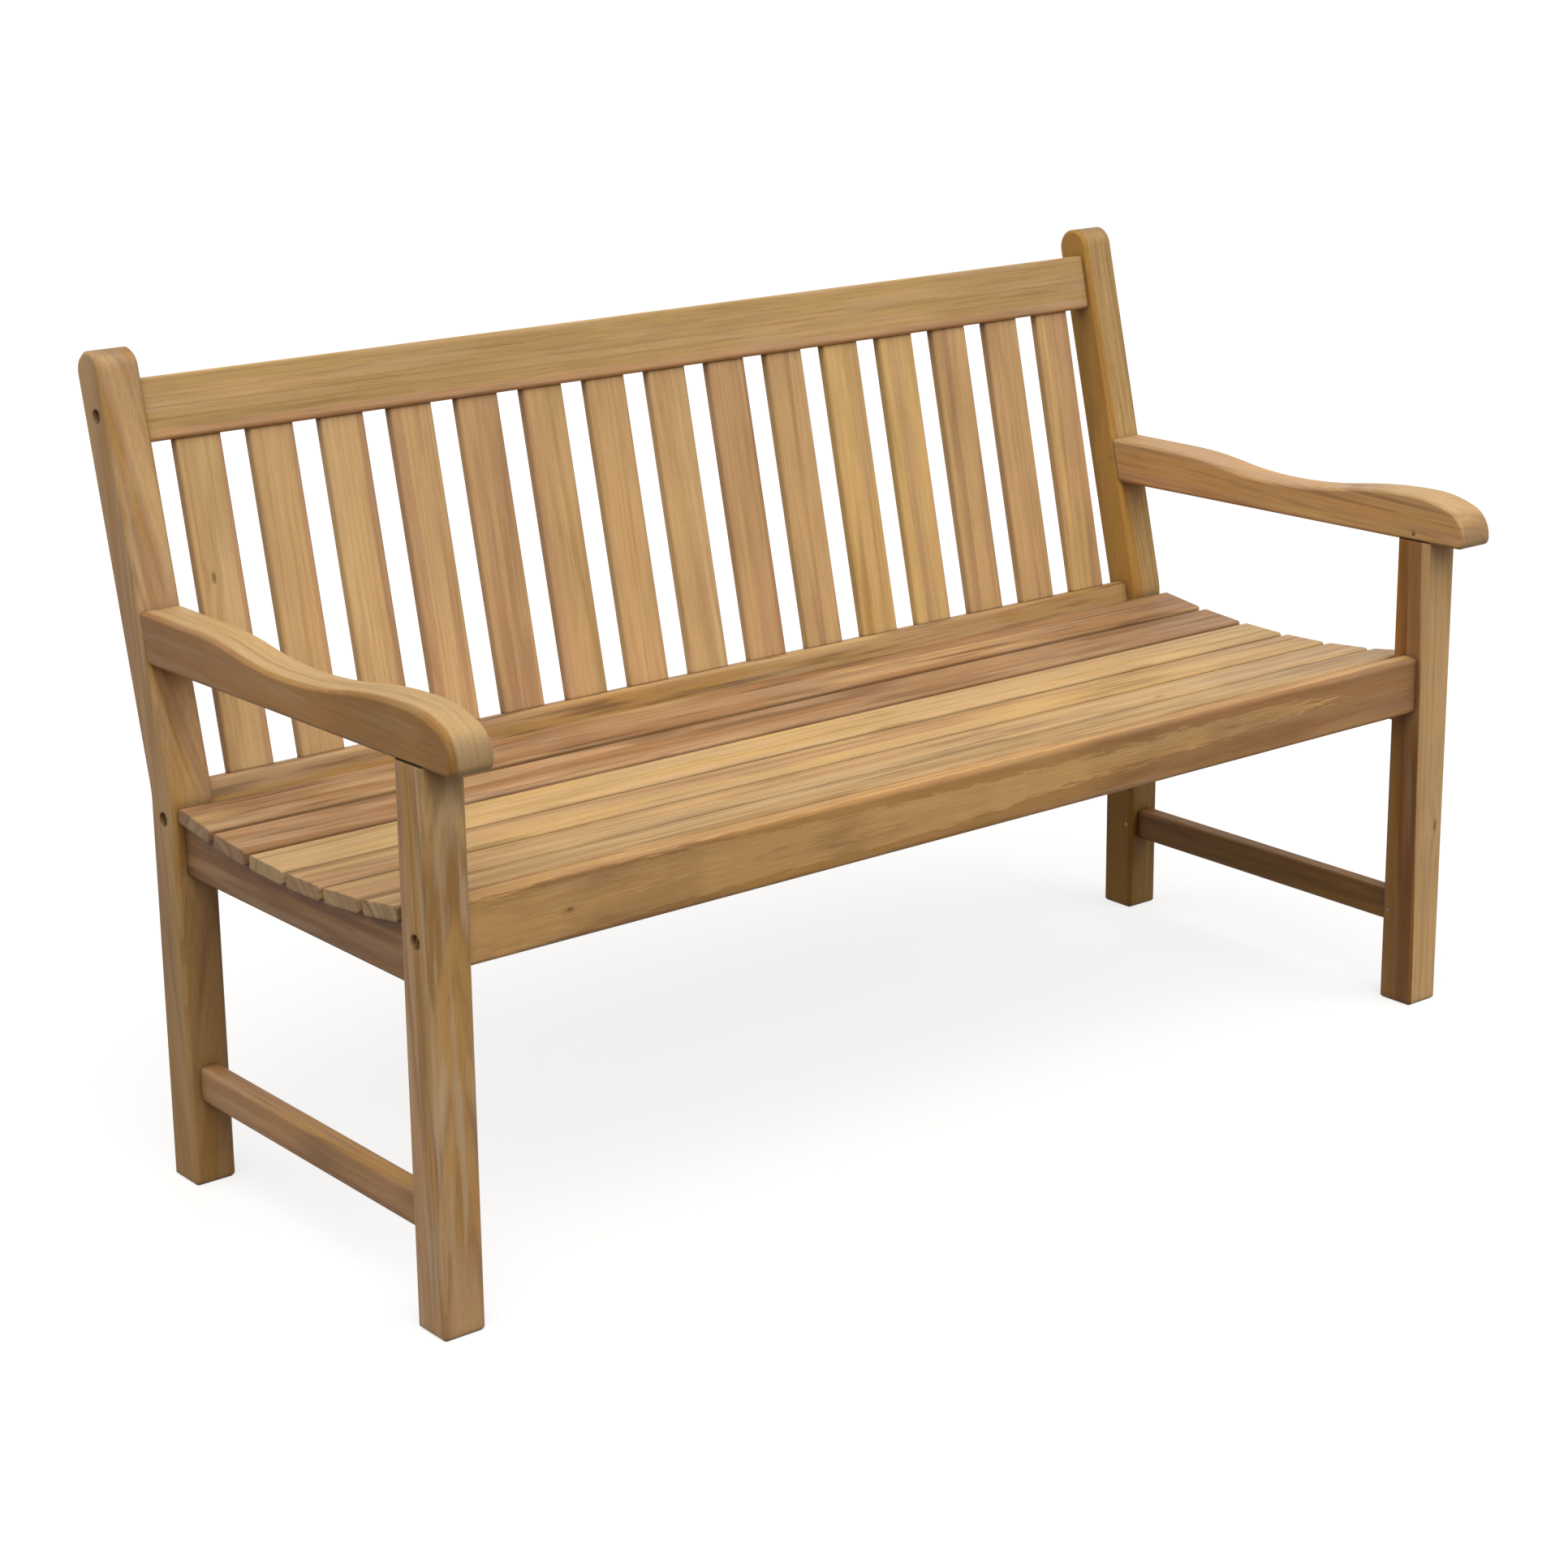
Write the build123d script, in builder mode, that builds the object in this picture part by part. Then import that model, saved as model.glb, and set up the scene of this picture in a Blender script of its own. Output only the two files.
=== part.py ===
# Three-seat teak garden bench: two pegged end frames, three long rails bolted between them,
# a dished seat of six slats and a leaning back of fifteen upright slats.
# Millimetres. +X runs along the bench, +Y to its back, +Z up.
# The origin lies on the floor, under the middle of the bench's outline.
import os
from math import asin, atan2, cos, degrees, hypot, radians, sin, tan

from build123d import *

os.makedirs("parts", exist_ok=True)

# Overall size and legs
LENGTH = 1500.0  # over the outer faces of the legs
FOOT_DEPTH = 550.0  # front of the front legs to back of the rear legs, on the floor
LEG = 50.0  # square section of the legs, and width of the armrests
LEG_EDGE = 3.5  # bevel along the legs
FOOT_EDGE = 3.0  # bevel round the feet

# Seat: slats laid in a shallow hollow, evenly between the front and the rear legs
SEAT_HEIGHT = 426.0  # lowest line of the seat's top
SEAT_LOW_SETBACK = 283.0  # that line, behind the front of the front legs
SEAT_RADIUS = 1300.0
SEAT_SLATS = 6
SEAT_GAP = 9.4
SEAT_SLAT_THICK = 16.0
SEAT_SLAT_EDGE = 2.0  # bevel
SEAT_END_INSET = 2.0  # slat ends, inside the outer faces of the legs

# Rails and stretchers
RAIL_HEIGHT = 70.0
RAIL_THICK = 25.0
RAIL_EDGE = 5.0
FRONT_RAIL_SETBACK = 11.0  # behind the front of the front legs
FRONT_RAIL_RISE = 27.0  # its top, above the seat's lowest line
SIDE_RAIL_DROP = 65.0  # its bottom, below the seat's lowest line
BEARER_DROP = 50.0  # the same for the middle bearer
STRETCHER_HEIGHT = 40.0
STRETCHER_BOTTOM = 99.0

# Rear legs, cranked so that their upper part leans back
BEND_RISE = 22.0  # above the seat's lowest line
BEND_RADIUS = 90.0
POST_LEAN = 13.3  # degrees
POST_LENGTH = 490.0  # along the lean, from the bend to the top
POST_ROUND = 23.0  # rounding of the top, seen from the side
POST_HEAD = 39.5  # from the top back rail to the top, along the lean

# Back panel: two rails and the slats between them, in a plane of their own
PANEL_TURN = 1.0  # degrees by which the panel is steeper than the posts
PANEL_SETBACK = 16.0  # behind the front of the rear legs, at the height of the bend
LOWER_RAIL_RISE = 12.0  # top of the lower rail, above the bend along the panel
BACK_SLATS = 15
BACK_SLAT_WIDTH = 56.0
BACK_SLAT_THICK = 13.0
BACK_SLAT_EDGE = 2.0  # bevel

# Armrests: level at the back, a dip, a crown over the front leg and a rounded nose
ARM_RISE = 223.5  # level part, above the seat's lowest line
ARM_FRONT_THICK = 51.0  # from that level to the underside, at the front of the front legs
ARM_REAR_THICK = 56.0  # the same, at the front of the rear legs' feet
ARM_DIP = 14.0  # below the level part
ARM_CROWN = 5.5  # above the level part
ARM_LEVEL_END = 440.0  # these three lie behind the front of the front legs
ARM_DIP_SETBACK = 262.0
ARM_CROWN_SETBACK = 28.0
ARM_EDGE = 3.2  # bevel round the sides
NOSE_OVERHANG = 53.0  # in front of the front legs
NOSE_RADIUS = 36.0
NOSE_CORNER = 10.0  # rounding under the nose
NOSE_RISE = 11.5  # from the underside to the foremost point of the nose

# Mortise and tenon joints
FIT = 0.2  # room round a tenon, on each side
END_ROOM = 1.0  # room past the end of a tenon, pin or bolt
TENON_THICK = 12.0
TENON_LENGTH = 18.0
SIDE_TENON_HEIGHT = 40.0
SIDE_TENON_DROP = 5.0  # below the middle of the side rail's ends
STRETCHER_TENON_HEIGHT = 24.0
BEARER_TENON_HEIGHT = 24.0
BEARER_TENON_LENGTH = 12.0
BEARER_TENON_DROP = 10.0  # below the middle of the rails
ARM_TENON_THICK = 16.0
ARM_TENON_HEIGHT = 30.0
ARM_TENON_LENGTH = 26.0
LEG_TENON_DEPTH = 30.0  # front to back
LEG_TENON_HEIGHT = 28.0
STUB_SHOULDER = 5.0  # at the front and back of a long rail's stub tenon
STUB_END_SHOULDER = 12.0  # above and below it
STUB_LENGTH = 10.0
SLAT_TENON_WIDTH = 40.0
SLAT_TENON_THICK = 8.0
SLAT_TENON_LENGTH = 14.0
LOOSE_TENON_WIDTH = 20.0  # loose tenons between the seat slats and what carries them
LOOSE_TENON_THICK = 6.0
LOOSE_TENON_LENGTH = 22.0
LOOSE_TENON_BITE = 9.0  # the part of it that is in the slat

# Locking pins through the tenons, driven from the inner faces
PIN_DIAMETER = 5.0  # across the flats
PIN_SIDES = 8
PIN_LENGTH = 34.0
PIN_SETBACK = 9.0  # from the shoulder of the joint
PIN_FIT = 0.1

# Bolts and barrel nuts that draw the long rails to the legs. Shanks and their holes, which the
# wood hides, have a few flat sides to keep the model light.
BOLT_DIAMETER = 8.0
BOLT_SIDES = 8
BOLT_ROOM = 0.4
BOLT_TAIL = 4.0  # thread past the barrel nut
BOLT_HEAD_DIAMETER = 14.0
BOLT_HEAD_HEIGHT = 7.0
BOLT_SOCKET = 6.0  # across the flats of the hexagon socket
BOLT_SOCKET_DEPTH = 4.0
RECESS_DIAMETER = 16.0
RECESS_DEPTH = 12.0
NUT_DIAMETER = 12.0
NUT_LENGTH = 18.0
NUT_INSET = 30.0  # from the leg's inner face
NUT_FIT = 0.2

# Places worked out from the sizes above
bend_z = SEAT_HEIGHT + BEND_RISE
arm_z = SEAT_HEIGHT + ARM_RISE  # level part of the armrests
lean = radians(POST_LEAN)
panel_lean = radians(POST_LEAN - PANEL_TURN)
post_thick = LEG * cos(lean)
post_reach = (
    FOOT_DEPTH
    - LEG
    + (POST_LENGTH - POST_ROUND) * sin(lean)
    + (post_thick - POST_ROUND) * cos(lean)
    + POST_ROUND
)
front_y = (NOSE_OVERHANG - post_reach) / 2  # front of the front legs
rear_y = front_y + FOOT_DEPTH - LEG  # front of the rear legs, below the bend
front_back_y = front_y + LEG  # back of the front legs
leg_x = (LENGTH - LEG) / 2
inner_x = LENGTH / 2 - LEG

ON_FACE = (Align.CENTER, Align.CENTER, Align.MIN)
SIDES = {"left": -1, "right": 1}


def post_front(z):
    """Front of a rear leg at a height above its bend."""
    return rear_y + (z - bend_z) * tan(lean)


arm_slope = (ARM_FRONT_THICK - ARM_REAR_THICK) / (rear_y - front_y)


def arm_under(y):
    """Height of the armrest's underside, which rises a little to the front."""
    return arm_z - ARM_FRONT_THICK + (y - front_y) * arm_slope


def keep(builder, name):
    """Name a finished piece and write its file."""
    builder.part.label = name
    export_step(builder.part, f"parts/{name}.step")


# Frames of the back panel and of the three long rails, each on a front face, z forward
panel = Plane(
    origin=(0, rear_y + PANEL_SETBACK, bend_z),
    x_dir=(1, 0, 0),
    z_dir=(0, -cos(panel_lean), sin(panel_lean)),
)
top_rail_rise = POST_LENGTH - POST_HEAD - RAIL_HEIGHT  # its underside, along the panel


def panel_plane(rise):
    """The panel's plane, moved up along the panel."""
    return Plane(
        origin=panel.from_local_coords((0, rise, 0)), x_dir=panel.x_dir, z_dir=panel.z_dir
    )


rail_faces = {
    "front_seat_rail": Plane(
        origin=(
            0,
            front_y + FRONT_RAIL_SETBACK,
            SEAT_HEIGHT + FRONT_RAIL_RISE - RAIL_HEIGHT / 2,
        ),
        x_dir=(1, 0, 0),
        z_dir=(0, -1, 0),
    ),
    "lower_back_rail": panel_plane(LOWER_RAIL_RISE - RAIL_HEIGHT / 2),
    "top_back_rail": panel_plane(top_rail_rise + RAIL_HEIGHT / 2),
}
rail_cores = {n: f.from_local_coords((0, 0, -RAIL_THICK / 2)) for n, f in rail_faces.items()}
front_rail_back_y = front_y + FRONT_RAIL_SETBACK + RAIL_THICK

# Joints of the end frames, each a shoulder plane that looks into the leg or post
side_rail_bottom = SEAT_HEIGHT - SIDE_RAIL_DROP
side_tenon_z = side_rail_bottom + RAIL_HEIGHT / 2 - SIDE_TENON_DROP
stretcher_z = STRETCHER_BOTTOM + STRETCHER_HEIGHT / 2
leg_middle_y = front_y + LEG / 2
leg_top_z = arm_under(leg_middle_y)
arm_tenon_z = arm_z - ARM_REAR_THICK / 2


def shoulder(side, y, z, into):
    """Plane of a joint across the bench's end, its z pointing into the receiving piece."""
    return Plane(origin=(side * leg_x, y, z), x_dir=(1, 0, 0), z_dir=(0, into, 0))


pins = {
    "arm_front": (leg_middle_y, leg_top_z + PIN_SETBACK),
    "arm_rear": (post_front(arm_tenon_z) + PIN_SETBACK, arm_tenon_z),
    "rail_front": (front_back_y - PIN_SETBACK, side_tenon_z),
    "rail_rear": (rear_y + PIN_SETBACK, side_tenon_z),
    "stretcher_front": (front_back_y - PIN_SETBACK, stretcher_z),
    "stretcher_rear": (rear_y + PIN_SETBACK, stretcher_z),
}


def pin_face(side, name):
    """Plane on a leg's inner face where a pin is driven."""
    y, z = pins[name]
    return Plane(origin=(side * inner_x, y, z), x_dir=(0, 1, 0), z_dir=(-side, 0, 0))


def tenon(plane, thick, height, length):
    """Add a tenon to the piece being built."""
    with Locations(plane):
        Box(thick, height, length, align=ON_FACE)


def mortise(plane, thick, height, length):
    """Cut the mortise for such a tenon."""
    with Locations(plane):
        Box(
            thick + 2 * FIT,
            height + 2 * FIT,
            length + END_ROOM,
            align=ON_FACE,
            mode=Mode.SUBTRACT,
        )


def pin_holes(side, *names):
    """Cut the piece being built for its pins."""
    with BuildSketch(*[pin_face(side, name) for name in names]) as sections:
        RegularPolygon(PIN_DIAMETER / 2 + PIN_FIT, PIN_SIDES, major_radius=False)
    extrude(sections.sketch, amount=-PIN_LENGTH - END_ROOM, mode=Mode.SUBTRACT)


def shank_hole(plane, room, depth):
    """Cut the hole for a bolt's shank, from a plane whose z points out of the piece."""
    with BuildSketch(plane) as section:
        RegularPolygon(BOLT_DIAMETER / 2 + room, BOLT_SIDES, major_radius=False)
    extrude(section.sketch, amount=-depth, mode=Mode.SUBTRACT)


def stub_plane(side, name):
    """Plane on a leg's inner face where a long rail's stub tenon goes in."""
    face = rail_faces[name]
    core = rail_cores[name]
    return Plane(
        origin=(side * inner_x, core.Y, core.Z), x_dir=face.z_dir, z_dir=(side, 0, 0)
    )


stub_thick = RAIL_THICK - 2 * STUB_SHOULDER
stub_height = RAIL_HEIGHT - 2 * STUB_END_SHOULDER


def rail_seat(side, name):
    """Cut a leg for a long rail: stub mortise, bolt hole and recess for the bolt's head."""
    core = rail_cores[name]
    mortise(stub_plane(side, name), stub_thick, stub_height, STUB_LENGTH)
    outside = Plane(
        origin=(side * LENGTH / 2, core.Y, core.Z), x_dir=(0, 1, 0), z_dir=(side, 0, 0)
    )
    with Locations(outside):
        Hole(RECESS_DIAMETER / 2, depth=RECESS_DEPTH)
    shank_hole(outside, BOLT_ROOM, LEG)


def leg_tenon_plane(side):
    """Plane just under the front leg's sloping top, where its tenon starts."""
    return Plane(origin=(side * leg_x, leg_middle_y, leg_top_z - END_ROOM), z_dir=(0, 0, 1))


def arm_tenon_plane(side):
    """Plane inside the arm's rear end, where its tenon starts."""
    return shoulder(side, post_front(arm_tenon_z) - ARM_TENON_HEIGHT / 2, arm_tenon_z, 1)


arm_tenon_run = ARM_TENON_LENGTH + ARM_TENON_HEIGHT / 2

# Front legs: square posts with a tenon on top for the armrest
for end, side in SIDES.items():
    with BuildPart() as front_leg:
        with BuildSketch(Plane.YZ.offset(side * leg_x)):
            with BuildLine():
                Polyline(
                    (front_y, 0),
                    (front_y, arm_under(front_y)),
                    (front_back_y, arm_under(front_back_y)),
                    (front_back_y, 0),
                    close=True,
                )
            make_face()
        extrude(amount=LEG / 2, both=True)
        chamfer(front_leg.edges().filter_by(Axis.Z), LEG_EDGE)
        chamfer(front_leg.faces().sort_by(Axis.Z)[0].edges(), FOOT_EDGE)
        tenon(leg_tenon_plane(side), ARM_TENON_THICK, LEG_TENON_DEPTH, LEG_TENON_HEIGHT + END_ROOM)
        mortise(
            shoulder(side, front_back_y, side_tenon_z, -1),
            TENON_THICK,
            SIDE_TENON_HEIGHT,
            TENON_LENGTH,
        )
        mortise(
            shoulder(side, front_back_y, stretcher_z, -1),
            TENON_THICK,
            STRETCHER_TENON_HEIGHT,
            TENON_LENGTH,
        )
        rail_seat(side, "front_seat_rail")
        pin_holes(side, "arm_front", "rail_front", "stretcher_front")
    keep(front_leg, f"{end}_front_leg")

# Rear legs: upright to the seat, then leaning back to a rounded top
for end, side in SIDES.items():
    with BuildPart() as rear_leg:
        with BuildSketch(Plane.YZ.offset(side * leg_x)) as rear_outline:
            top_front = (rear_y + POST_LENGTH * sin(lean), bend_z + POST_LENGTH * cos(lean))
            top_rear = (
                top_front[0] + post_thick * cos(lean),
                top_front[1] - post_thick * sin(lean),
            )
            with BuildLine():
                Polyline(
                    (rear_y, 0),
                    (rear_y, bend_z),
                    top_front,
                    top_rear,
                    (rear_y + LEG, bend_z),
                    (rear_y + LEG, 0),
                    close=True,
                )
            make_face()
            fillet(rear_outline.vertices().sort_by(Axis.Y)[-2:], POST_ROUND)
            fillet(rear_outline.vertices().sort_by(Axis.Y)[2:4], BEND_RADIUS)
        extrude(amount=LEG / 2, both=True)
        chamfer(rear_leg.faces().filter_by(Axis.X).edges().sort_by(Axis.Z)[2:], LEG_EDGE)
        chamfer(rear_leg.faces().sort_by(Axis.Z)[0].edges(), FOOT_EDGE)
        mortise(
            shoulder(side, rear_y, side_tenon_z, 1), TENON_THICK, SIDE_TENON_HEIGHT, TENON_LENGTH
        )
        mortise(
            shoulder(side, rear_y, stretcher_z, 1),
            TENON_THICK,
            STRETCHER_TENON_HEIGHT,
            TENON_LENGTH,
        )
        mortise(arm_tenon_plane(side), ARM_TENON_THICK, ARM_TENON_HEIGHT, arm_tenon_run)
        rail_seat(side, "lower_back_rail")
        rail_seat(side, "top_back_rail")
        pin_holes(side, "arm_rear", "rail_rear", "stretcher_rear")
    keep(rear_leg, f"{end}_rear_leg")


def sweep_arcs(start, drop, run):
    """Two equal tangent arcs that lead level from start to a point lower by drop, run ahead."""
    angle = 2 * asin(drop / hypot(drop, run))
    radius = abs(run / (2 * sin(angle)))
    first = JernArc(start, (-1, 0), radius, degrees(angle))
    return JernArc(first @ 1, first % 1, radius, -degrees(angle))


# Armrests: sawn to a dipped outline, pegged on the front leg and into the rear one
for end, side in SIDES.items():
    with BuildPart() as armrest:
        with BuildSketch(Plane.YZ.offset(side * leg_x)) as arm_outline:
            nose_y = front_y - NOSE_OVERHANG
            nose_z = arm_under(nose_y) + NOSE_RISE
            crown_y = front_y + ARM_CROWN_SETBACK
            crown_z = arm_z + ARM_CROWN
            crown_run = crown_y - nose_y - NOSE_RADIUS
            crown_turn = 2 * atan2(crown_z - nose_z - NOSE_RADIUS, crown_run)
            crown_radius = NOSE_RADIUS + crown_run / sin(crown_turn)
            dip_y = front_y + ARM_DIP_SETBACK
            level_y = front_y + ARM_LEVEL_END
            skew = arm_slope * tan(lean)
            rear_under_z = (arm_z - ARM_REAR_THICK - skew * bend_z) / (1 - skew)
            with BuildLine():
                Line((post_front(arm_z), arm_z), (level_y, arm_z))
                down = sweep_arcs((level_y, arm_z), ARM_DIP, level_y - dip_y)
                up = sweep_arcs(down @ 1, -ARM_DIP - ARM_CROWN, dip_y - crown_y)
                crown = JernArc(up @ 1, (-1, 0), crown_radius, degrees(crown_turn))
                nose = JernArc(crown @ 1, crown % 1, NOSE_RADIUS, 90 - degrees(crown_turn))
                Polyline(
                    nose @ 1,
                    (nose_y, arm_under(nose_y)),
                    (post_front(rear_under_z), rear_under_z),
                    (post_front(arm_z), arm_z),
                )
            make_face()
            under_nose = arm_outline.vertices().group_by(Axis.X)[0].sort_by(Axis.Y)[0]
            fillet(under_nose, NOSE_CORNER)
        extrude(amount=LEG / 2, both=True)
        rear_end = armrest.faces().sort_by(Axis.Y)[-1]
        rims = armrest.faces().filter_by(Axis.X).edges() - rear_end.edges()
        chamfer(rims, ARM_EDGE)
        tenon(arm_tenon_plane(side), ARM_TENON_THICK, ARM_TENON_HEIGHT, arm_tenon_run)
        mortise(leg_tenon_plane(side), ARM_TENON_THICK, LEG_TENON_DEPTH, LEG_TENON_HEIGHT + END_ROOM)
        pin_holes(side, "arm_front", "arm_rear")
    keep(armrest, f"{end}_armrest")

# Seat slats lie in the hollow, each square to it, spread evenly between front and rear legs
seat_pitch = (rear_y - front_back_y - SEAT_GAP) / SEAT_SLATS
seat_slat_width = seat_pitch - SEAT_GAP
slat_ys = [front_back_y + (SEAT_GAP + seat_pitch) / 2 + i * seat_pitch for i in range(SEAT_SLATS)]
slat_tilts = [asin((y - front_y - SEAT_LOW_SETBACK) / SEAT_RADIUS) for y in slat_ys]
slat_tops = [SEAT_HEIGHT + SEAT_RADIUS * (1 - cos(t)) for t in slat_tilts]


def bed_height(i, y):
    """Height of the flat that carries a seat slat."""
    tilt = slat_tilts[i]
    return slat_tops[i] + (y - slat_ys[i]) * tan(tilt) - SEAT_SLAT_THICK / cos(tilt)


def bed_outline(start_y, end_y):
    """Top edge of a piece that carries the seat: one flat under each slat."""
    points = [(start_y, bed_height(0, start_y))]
    for i in range(SEAT_SLATS - 1):
        rise = bed_height(i + 1, 0) - bed_height(i, 0)
        meet_y = rise / (tan(slat_tilts[i]) - tan(slat_tilts[i + 1]))
        points.append((meet_y, bed_height(i, meet_y)))
    points.append((end_y, bed_height(SEAT_SLATS - 1, end_y)))
    return points


carrier_xs = [-leg_x, 0, leg_x]


def loose_tenon_planes(x):
    """Planes of the flats of a carrier at x, looking up into the slats."""
    return [
        Plane(
            origin=(x, y + SEAT_SLAT_THICK * sin(tilt), top - SEAT_SLAT_THICK * cos(tilt)),
            x_dir=(1, 0, 0),
            z_dir=(0, -sin(tilt), cos(tilt)),
        )
        for y, tilt, top in zip(slat_ys, slat_tilts, slat_tops)
    ]


def loose_tenon_seats(x):
    """Cut a carrier at x for the loose tenons of its slats."""
    for flat in loose_tenon_planes(x):
        down = Plane(origin=flat.origin, x_dir=flat.x_dir, z_dir=-flat.z_dir)
        depth = LOOSE_TENON_LENGTH - LOOSE_TENON_BITE
        mortise(down, LOOSE_TENON_THICK, LOOSE_TENON_WIDTH, depth)


# Side seat rails: tenoned between front and rear legs, hollowed on top for the seat
for end, side in SIDES.items():
    with BuildPart() as side_rail:
        with BuildSketch(Plane.YZ.offset(side * leg_x)):
            with BuildLine():
                Polyline(
                    (rear_y, side_rail_bottom),
                    (front_back_y, side_rail_bottom),
                    *bed_outline(front_back_y, rear_y),
                    close=True,
                )
            make_face()
        extrude(amount=RAIL_THICK / 2, both=True)
        fillet(side_rail.faces().sort_by(Axis.Z)[0].edges().filter_by(Axis.Y), RAIL_EDGE)
        for y, into in ((front_back_y, -1), (rear_y, 1)):
            tenon(
                shoulder(side, y, side_tenon_z, into), TENON_THICK, SIDE_TENON_HEIGHT, TENON_LENGTH
            )
        pin_holes(side, "rail_front", "rail_rear")
        loose_tenon_seats(side * leg_x)
    keep(side_rail, f"{end}_seat_rail")

# Stretchers: tenoned low between front and rear legs
for end, side in SIDES.items():
    with BuildPart() as stretcher:
        with BuildSketch(shoulder(side, front_back_y, stretcher_z, 1)):
            RectangleRounded(RAIL_THICK, STRETCHER_HEIGHT, RAIL_EDGE)
        extrude(amount=rear_y - front_back_y)
        for y, into in ((front_back_y, -1), (rear_y, 1)):
            tenon(
                shoulder(side, y, stretcher_z, into),
                TENON_THICK,
                STRETCHER_TENON_HEIGHT,
                TENON_LENGTH,
            )
        pin_holes(side, "stretcher_front", "stretcher_rear")
    keep(stretcher, f"{end}_stretcher")

# Joints of the middle bearer, into the front seat rail and the lower back rail
bearer_tenon_rise = LOWER_RAIL_RISE - RAIL_HEIGHT / 2 - BEARER_TENON_DROP
bearer_joints = (
    Plane(
        origin=(0, front_rail_back_y, rail_cores["front_seat_rail"].Z - BEARER_TENON_DROP),
        x_dir=(1, 0, 0),
        z_dir=(0, -1, 0),
    ),
    Plane(
        origin=panel.from_local_coords((0, bearer_tenon_rise, 0)),
        x_dir=(1, 0, 0),
        z_dir=-panel.z_dir,
    ),
)


def panel_y(z):
    """Front plane of the back panel at a height."""
    return panel.origin.Y + (z - bend_z) * tan(panel_lean)


# Middle bearer: carries the slats at half their length
with BuildPart() as bearer:
    bearer_bottom = SEAT_HEIGHT - BEARER_DROP
    slope = tan(slat_tilts[-1])
    back_z = bed_height(SEAT_SLATS - 1, panel_y(0)) / (1 - slope * tan(panel_lean))
    with BuildSketch(Plane.YZ):
        with BuildLine():
            Polyline(
                (panel_y(bearer_bottom), bearer_bottom),
                (front_rail_back_y, bearer_bottom),
                *bed_outline(front_rail_back_y, panel_y(back_z)),
                close=True,
            )
        make_face()
    extrude(amount=RAIL_THICK / 2, both=True)
    for joint in bearer_joints:
        tenon(joint, TENON_THICK, BEARER_TENON_HEIGHT, BEARER_TENON_LENGTH)
    loose_tenon_seats(0)
keep(bearer, "middle_seat_bearer")

# Places of the back slats, spread evenly between the rear legs
back_gap = (2 * inner_x - BACK_SLATS * BACK_SLAT_WIDTH) / (BACK_SLATS + 1)
back_pitch = BACK_SLAT_WIDTH + back_gap
back_xs = [(i - (BACK_SLATS - 1) / 2) * back_pitch for i in range(BACK_SLATS)]


def slat_shoulders(rise, up):
    """Planes across the ends of the back slats, at a height along the panel, looking up or down."""
    return [
        Plane(
            origin=panel.from_local_coords((x, rise, -RAIL_THICK / 2)),
            x_dir=(1, 0, 0),
            z_dir=panel.y_dir * up,
        )
        for x in back_xs
    ]


lower_shoulders = slat_shoulders(LOWER_RAIL_RISE, -1)
top_shoulders = slat_shoulders(top_rail_rise, 1)


def slat_seats(shoulders):
    """Cut a back rail for the tenons of all back slats."""
    for plane in shoulders:
        mortise(plane, SLAT_TENON_WIDTH, SLAT_TENON_THICK, SLAT_TENON_LENGTH)


# Long rails: front seat rail, lower and top back rail, bolted between the end frames
for name, face in rail_faces.items():
    with BuildPart() as long_rail:
        with BuildSketch(Plane(origin=rail_cores[name], x_dir=-face.z_dir, z_dir=(1, 0, 0))):
            RectangleRounded(RAIL_THICK, RAIL_HEIGHT, RAIL_EDGE)
        extrude(amount=inner_x, both=True)
        for side in SIDES.values():
            tenon(stub_plane(side, name), stub_thick, stub_height, STUB_LENGTH)
            shank_depth = STUB_LENGTH + NUT_INSET + NUT_DIAMETER / 2 + BOLT_TAIL + END_ROOM
            shank_hole(stub_plane(side, name).offset(STUB_LENGTH), BOLT_ROOM, shank_depth)
            nut_mouth = Plane(
                origin=face.from_local_coords((side * (inner_x - NUT_INSET), 0, -RAIL_THICK)),
                x_dir=(1, 0, 0),
                z_dir=-face.z_dir,
            )
            with Locations(nut_mouth):
                Hole(NUT_DIAMETER / 2 + NUT_FIT, depth=(RAIL_THICK + NUT_LENGTH) / 2)
        if name == "front_seat_rail":
            mortise(bearer_joints[0], TENON_THICK, BEARER_TENON_HEIGHT, BEARER_TENON_LENGTH)
        if name == "lower_back_rail":
            mortise(bearer_joints[1], TENON_THICK, BEARER_TENON_HEIGHT, BEARER_TENON_LENGTH)
            slat_seats(lower_shoulders)
        if name == "top_back_rail":
            slat_seats(top_shoulders)
    keep(long_rail, name)

# Back slats, each with a tenon at both ends
for i, (lower, top) in enumerate(zip(lower_shoulders, top_shoulders)):
    with BuildPart() as back_slat:
        with BuildSketch(lower) as section:
            Rectangle(BACK_SLAT_WIDTH, BACK_SLAT_THICK)
            chamfer(section.vertices(), BACK_SLAT_EDGE)
        extrude(amount=LOWER_RAIL_RISE - top_rail_rise)
        for plane in (lower, top):
            tenon(plane, SLAT_TENON_WIDTH, SLAT_TENON_THICK, SLAT_TENON_LENGTH)
    keep(back_slat, f"back_slat_{i + 1:02d}")

# Seat slats, over the side rails and the bearer from end to end
for i, y in enumerate(slat_ys):
    with BuildPart() as seat_slat:
        across = Plane(
            origin=(0, y, slat_tops[i]),
            x_dir=(0, cos(slat_tilts[i]), sin(slat_tilts[i])),
            z_dir=(1, 0, 0),
        )
        with BuildSketch(across) as section:
            with Locations((0, -SEAT_SLAT_THICK / 2)):
                Rectangle(seat_slat_width, SEAT_SLAT_THICK)
            chamfer(section.vertices(), SEAT_SLAT_EDGE)
        extrude(amount=LENGTH / 2 - SEAT_END_INSET, both=True)
        for x in carrier_xs:
            mortise(loose_tenon_planes(x)[i], LOOSE_TENON_THICK, LOOSE_TENON_WIDTH, LOOSE_TENON_BITE)
    keep(seat_slat, f"seat_slat_{i + 1}")

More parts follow.
